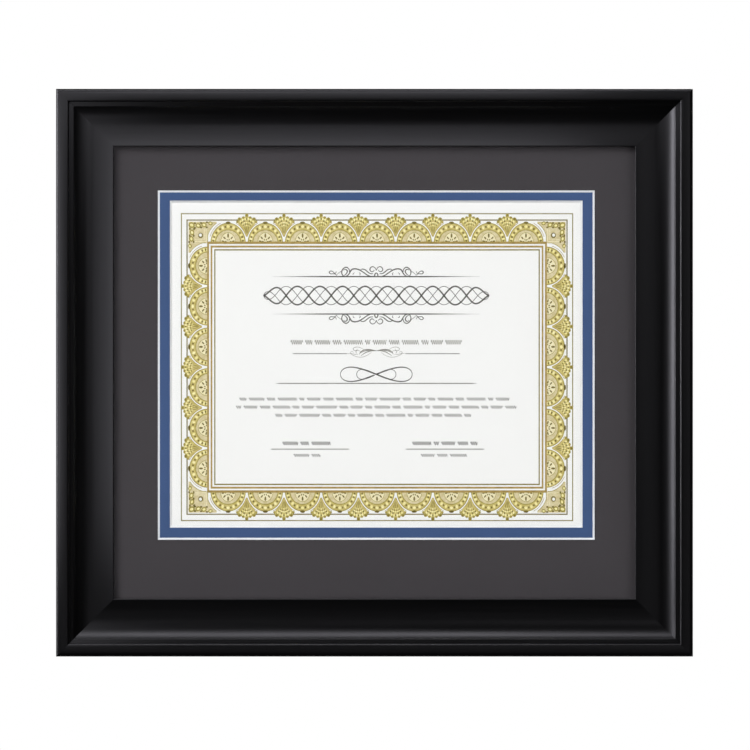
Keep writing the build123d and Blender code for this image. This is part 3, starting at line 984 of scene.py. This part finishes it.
small_scroll = drawn_strokes(
    0.85,
    ([(0, 2.9), (6, 4.1), (11.5, 3.9), (15.5, 1.8), (17, -0.8)], 0.4, 1.2),
    ([(0, 2.9), (5, 2.7), (9.5, 1.6), (13, -0.4), (15.5, -2.2)], 0.4, 1.0),
    ([(0, 2.9), (6, 3.4), (12, 2.6), (16.5, 0.4)], 0.4, 1.1),
    ([(5, 1.2), (9, -1.6), (14, -3.4), (19, -3.2), (24, -1.2), (26, 0.8), (24.4, 2.2), (22.6, 1.2)],
     0.3, 0.5),
    ([(12, 3.8), (16, 6.0), (20, 6.6), (23, 5.2), (22.2, 3.2), (19.6, 3.4), (19.2, 5)], 0.3, 0.6),
    ([(15.5, 1.8), (18.3, 3.4), (20.5, 2.0), (19.4, 0.2)], 0.3, 0.6),
    ([(18, -0.8), (22, -0.6), (25.6, 0.2), (28.6, 0.0)], 0.3, 0.5),
)
print("scrolls of", len(scroll[1]), "and", len(small_scroll[1]), "faces")

# %% [markdown]
# Where wording would go there are only generic stand-ins: a chain of interlaced waves for the heading, a
# pen knot above the ruled line, and small waves in place of the running lines. All three are sine waves,
# so they read as a pattern and not as letters.

# %% Stand-in waves
chain_loops = 10
chain_half = 66.0 * MM
chain_height = 5.4 * MM
chain_line, chain_hairline = 0.9 * MM, 0.38 * MM
chain_fade = 7
wavelength, word_gap = 1.25 * MM, 1.5 * MM
word_lengths = np.array([7, 4, 9, 5, 11, 3, 8, 6, 10, 4, 7, 12, 5]) * 0.8
knot_line, knot_swell = 0.35 * MM, 0.45 * MM


def chain_wave(phase):
    """A sine wave along the heading's place that dies away at both ends."""
    t = np.linspace(-1, 1, 16 * chain_loops + 1)
    fade = np.clip((1 - np.abs(t)) * chain_fade, 0, 1)
    wave = np.sin(t * chain_loops * np.pi / 2 + phase)
    return np.stack([t * chain_half, chain_height * wave * np.sqrt(fade)], 1)


def wave_words(half_length, height, middle, wave_height, width, first):
    """Short runs of a small sine wave with gaps between them, of varied lengths, filling one line."""
    runs, start, index = [], -half_length, first
    while start < half_length - 2 * wavelength:
        end = min(start + word_lengths[index % len(word_lengths)] * wavelength, half_length)
        x = np.arange(start, end, wavelength / 8)
        z = height + wave_height * np.sin((x - start) * 2 * np.pi / wavelength)
        if len(x) > 8:
            runs.append(pen_line(np.stack([x + middle + centre_shift, z], 1), width))
        start, index = end + word_gap, index + 1
    return together(*runs)


def pen_knot(half_length, half_height, width):
    """A lying eight: x follows the sine of an angle, and z the sine of twice that angle."""
    angle = np.linspace(0, 2 * np.pi, 97)[:-1]
    path = np.stack([half_length * np.sin(angle), half_height * np.sin(2 * angle)], 1) * MM
    return pen_line(path, width(angle))


heading = together(
    pen_line(chain_wave(0), chain_line),
    pen_line(chain_wave(np.pi), chain_line),
    pen_line(chain_wave(np.pi / 2), chain_hairline),
    pen_line(chain_wave(-np.pi / 2), chain_hairline),
)
knot = together(
    pen_knot(21, 4.2, lambda angle: knot_line + knot_swell * np.abs(np.cos(angle))),
    pen_knot(11.5, 2.9, lambda angle: knot_line),
)
print("heading of", len(heading[1]), "faces")

# %% [markdown]
# The sheet's grey inks are printed last. Heights are measured from the middle of the border, and each row
# of stand-in waves lists its half length, height, middle, wave height and pen width in millimetres, and
# which word length it starts with.

# %% Print the sheet
upper_rule, lower_rule = 53.0 * MM, 31.1 * MM
heading_row = 41.9 * MM
scroll_row = 7.9 * MM
long_line_row = -9.5 * MM
short_lines_row = -48.0 * MM
left_column, right_column = -38.8, 40.2
upper_words = ((50.0, 14.6, 0, 1.35, 0.36), 0)
running_words = [
    ((80.0, -18.7, 0, 0.85, 0.32), 1),
    ((82.0, -23.4, 0, 0.85, 0.32), 5),
    ((59.0, -28.2, 0, 0.85, 0.32), 9),
    ((16.0, -44.6, left_column, 1.0, 0.4), 2),
    ((19.0, -44.6, right_column, 1.0, 0.4), 4),
    ((9.5, -51.6, left_column, 0.8, 0.32), 2),
    ((14.0, -51.6, right_column, 0.8, 0.32), 6),
]


def word_row(sizes, first):
    """One row of stand-in words, its sizes in millimetres."""
    return wave_words(*(np.array(sizes) * MM), first)


sheet_rules = together(
    rule(60.6 * MM, upper_rule, 0.75 * MM, 0.5),
    rule(60.6 * MM, lower_rule, 0.75 * MM, 0.5),
    placed(scroll, upper_rule),
    placed(scroll, lower_rule, -1),
    placed(heading, heading_row),
)
sheet_lines = together(
    rule(16.2 * MM, scroll_row, 0.5 * MM, 0.02, -32.9 * MM),
    rule(16.2 * MM, scroll_row, 0.5 * MM, 0.02, 32.9 * MM),
    placed(small_scroll, scroll_row),
    rule(58.9 * MM, long_line_row, 0.62 * MM, 0.01),
    rule(23.3 * MM, short_lines_row, 0.55 * MM, 0.01, left_column * MM),
    rule(23.3 * MM, short_lines_row, 0.55 * MM, 0.01, right_column * MM),
    word_row(*upper_words),
)
stand_in_lines = together(placed(knot, -4.2 * MM), *(word_row(*row) for row in running_words))
sheet_inks = {
    "sheet_rules": (sheet_rules, grey, 0),
    "sheet_lines": (sheet_lines, pale_grey, 1),
    "sheet_stand_in_lines": (stand_in_lines, grey, 0),
}
print_all(sheet_inks)
print(len(printed), "printed pieces,", sum(len(piece.data.polygons) for piece in printed), "faces")

# %% [markdown]
# The picture was taken square on from far away, so a long lens stands well back. Its height and side
# place are set so that the frame lands where it does in the photograph's square.

# %% Camera
frame_middle_x = (cad_low.x + cad_high.x) / 2
frame_middle_z = (cad_low.z + cad_high.z) / 2
pixels_wide = 750
frame_pixels_wide = 637.0
frame_centre_pixel = (374.5, 372.7)
pixel = (cad_high.x - cad_low.x) / frame_pixels_wide
camera_distance = 12.0
camera_data = bpy.data.cameras.new("picture_camera")
camera_data.sensor_width = 36.0
camera_data.lens = camera_data.sensor_width * camera_distance / (pixels_wide * pixel)
camera_data.clip_end = 50
camera = bpy.data.objects.new("picture_camera", camera_data)
camera.location = (
    frame_middle_x + (pixels_wide / 2 - frame_centre_pixel[0]) * pixel,
    cad_low.y - camera_distance,
    frame_middle_z - (pixels_wide / 2 - frame_centre_pixel[1]) * pixel,
)
camera.rotation_euler = (np.pi / 2, 0, 0)
bpy.context.scene.collection.objects.link(camera)
bpy.context.scene.camera = camera
print("lens", round(camera_data.lens, 1), "mm")

# %% [markdown]
# A broad lamp up to the left lights the mats and draws the soft shadow under the sight edge, a second
# evens them out from the right, and a low one skims in from below so that the outer mat's upper and left
# bevels stay white. It is flagged off the inner mat, whose upper and left bevels lie in soft shade. Black
# lacquer shows no light of its own, only what it mirrors. So small panels close to the left and top rails,
# each at its own slant, and two strips further off shine in the lacquer alone, and every slope of the
# section picks one.

# %% Lamps
shine_colour = (0.98, 0.965, 1.06)
face_y = -0.02
centre = (frame_middle_x, face_y, frame_middle_z)
mat_lamps = {
    "front_fill": ((2.1, -3.0, -0.5), (2.2, 2.2), 40),
    "key": ((-1.5, -2.85, 1.3), (2.3, 2.3), 98),
    "reflector": ((1.6, -0.42, -2.0), (0.9, 0.9), 41),
}
near_panel_gap = 0.20
left_panel_size, top_panel_size = (0.06, 0.28), (0.32, 0.06)
left_panel_start, left_panel_aim = -0.17, (-0.165, face_y, -0.05)
left_panel_powers = {7: 0.016, 12: 0.029, 22: 0.051, 34: 0.144}
top_panel_start, top_panel_aim = 0.063, (-0.04, face_y, 0.06)
top_panel_powers = {7: 0.030, 22: 0.117, 34: 0.061}
shine_panels = {
    "left_strip": ((-0.913, -0.211, 0.02), (0.17, face_y, frame_middle_z), (0.15, 0.45), 3.35),
    "top_strip": ((-0.05, -0.36, 0.811), (0, face_y, -0.235), (0.6, 0.3), 1.8),
    "right_panel": ((0.75, -2.4, 0.45), centre, (0.8, 0.8), 1.6),
    "front_panel": ((0.0, -2.5, 0.0), centre, (1.2, 1.2), 0.5),
}


def area_lamp(name, place, target, size, power, diffuse=True, glossy=True):
    """A soft lamp turned to face a target: a round one for the mats, a panel for shine alone."""
    lamp = bpy.data.lights.new(name, "AREA")
    lamp.energy = power
    lamp.shape = "DISK" if diffuse else "RECTANGLE"
    lamp.size, lamp.size_y = size
    lamp.color = (1, 1, 1) if diffuse else shine_colour
    holder = bpy.data.objects.new(name, lamp)
    holder.location = place
    aim = Vector(target) - Vector(place)
    holder.rotation_euler = aim.to_track_quat("-Z", "Y").to_euler()
    holder.visible_camera = False
    holder.visible_diffuse = diffuse
    holder.visible_glossy = glossy
    bpy.context.scene.collection.objects.link(holder)
    return holder


lamps = {}
for lamp_name, (place, size, power) in mat_lamps.items():
    lamps[lamp_name] = area_lamp(lamp_name, place, centre, size, power, glossy=False)
flagged = bpy.data.collections.new("flagged_from_reflector")
flagged.objects.link(nodes["inner_mat_core"])
flagged.collection_objects[0].light_linking.link_state = "EXCLUDE"
lamps["reflector"].light_linking.receiver_collection = flagged
for degrees, power in left_panel_powers.items():
    side_step = near_panel_gap * np.tan(np.radians(degrees))
    place = (left_panel_start - side_step, face_y - near_panel_gap, left_panel_aim[2])
    area_lamp(f"left_panel_{degrees}", place, left_panel_aim, left_panel_size, power, diffuse=False)
for degrees, power in top_panel_powers.items():
    side_step = near_panel_gap * np.tan(np.radians(degrees))
    place = (top_panel_aim[0], face_y - near_panel_gap, top_panel_start + side_step)
    area_lamp(f"top_panel_{degrees}", place, top_panel_aim, top_panel_size, power, diffuse=False)
for lamp_name, (place, target, size, power) in shine_panels.items():
    area_lamp(lamp_name, place, target, size, power, diffuse=False)
area_lamp("back_fill", (0.9, 2.2, 0.9), centre, (1.6, 1.6), 40)
print(len(bpy.data.lights), "lamps")

# %% [markdown]
# The frame hangs before a white surround, well above a pale floor. The surround is white only where the
# camera or a mirror sees it, and lights the frame with a fraction of that, so that black stays black.

# %% Surround and floor
mirror_dim, soft_light = 0.01, 0.12
behind_from, behind_to = 0.55, 0.85
floor_corners = np.array([[-1, -1], [1, -1], [1, 1], [-1, 1]])


def white_surround():
    """White to the camera, and to mirrors that look behind the frame; dim to those that face the lens."""
    world = bpy.data.worlds.new("white_surround")
    world.use_nodes = True
    sky = Nodes(world.node_tree)
    background = sky.tree.nodes["Background"].inputs
    path = sky.add("ShaderNodeLightPath").outputs
    direction = sky.add("ShaderNodeTexCoord").outputs["Generated"]
    away = sky.add("ShaderNodeSeparateXYZ", Vector=direction).outputs["Y"]
    mirrored_white = sky.maths("MULTIPLY", path["Is Glossy Ray"], sky.cut(away, behind_from, behind_to))
    seen = sky.maths("MAXIMUM", path["Is Camera Ray"], path["Is Transmission Ray"])
    white = sky.maths("MAXIMUM", seen, mirrored_white)
    soft = sky.span(path["Is Diffuse Ray"], mirror_dim, soft_light)
    sky.set(background["Color"], (1, 1, 1, 1))
    sky.set(background["Strength"], sky.maths("MAXIMUM", white, soft))
    bpy.context.scene.world = world


def pale_floor(drop=0.45, half=6.0, glow=0.2):
    """A flat white floor well below the hanging frame, with a glow of its own where no lamp reaches."""
    points = np.column_stack([floor_corners * half, np.full(4, cad_low.z - drop)])
    mesh = bpy.data.meshes.new("floor")
    mesh.from_pydata(points.tolist(), [], [[0, 1, 2, 3]])
    shine = {"Roughness": 0.9, "Specular_IOR_Level": 0.1}
    f = Finish("pale_floor", Emission_Color=(1, 1, 1, 1), Emission_Strength=glow, **shine)
    f.colour(f.ramp(f.noise(f.place(), 3.0), [(0, (0.86,)), (1, (0.9,))]))
    mesh.materials.append(f.material)
    floor = bpy.data.objects.new("floor", mesh)
    bpy.context.scene.collection.objects.link(floor)
    floor.visible_diffuse = False
    floor.visible_glossy = False
    floor.visible_shadow = False


white_surround()
pale_floor()
bpy.context.scene.view_settings.view_transform = "Standard"
print("surround and floor ready")
